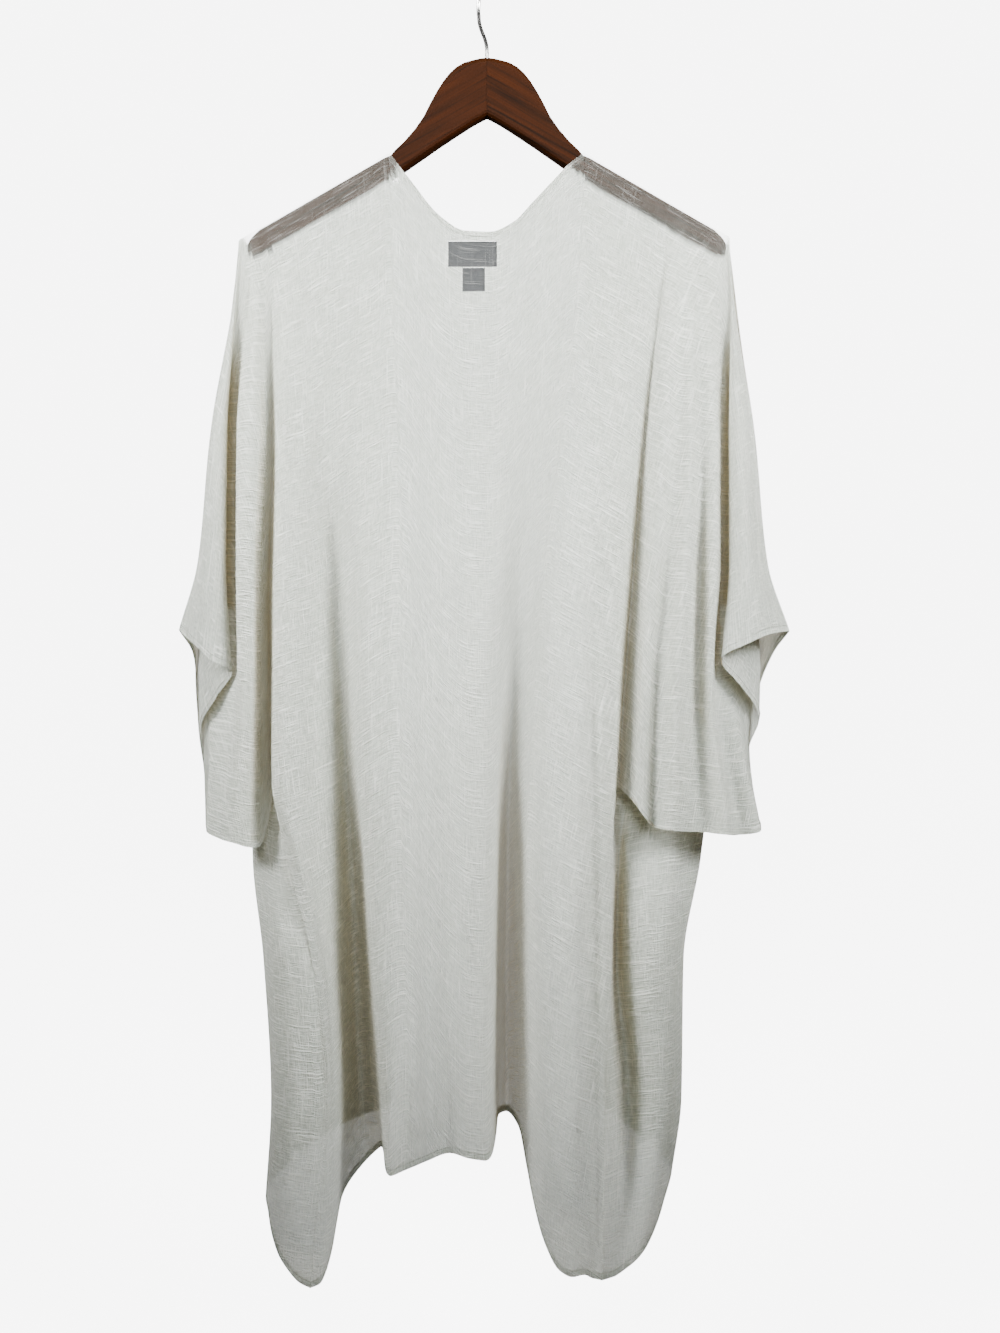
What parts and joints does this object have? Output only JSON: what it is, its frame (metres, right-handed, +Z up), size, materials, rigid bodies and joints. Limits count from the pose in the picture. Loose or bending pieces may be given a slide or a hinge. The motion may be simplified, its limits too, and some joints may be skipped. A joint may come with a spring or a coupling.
{
  "type": "open-front kimono coat on a wooden hanger",
  "caption": "Thin slub gauze kimono coat with wide grown-on sleeves and an open front, hung on a flat wooden hanger with a wire hook.",
  "frame": {"origin": "inside of the hook's top, where it hangs on a rail", "axes": "+Z up, +X the wearer's right, +Y the open front, so the back of the coat faces -Y"},
  "size_m": [0.5624, 0.1174, 1.202],
  "materials": {
    "gauze": "slubbed open plain weave, slightly see-through",
    "label": "plain woven ribbon",
    "wood": "brown stain under satin varnish",
    "wire": "bright plated wire"
  },
  "bodies": {
    "root": {"back": "gauze", "front_left": "gauze", "front_right": "gauze", "neck_label": "label", "size_tab": "label", "hanger_left": "wood", "hanger_right": "wood", "hook": "wire"}
  },
  "joints": []
}
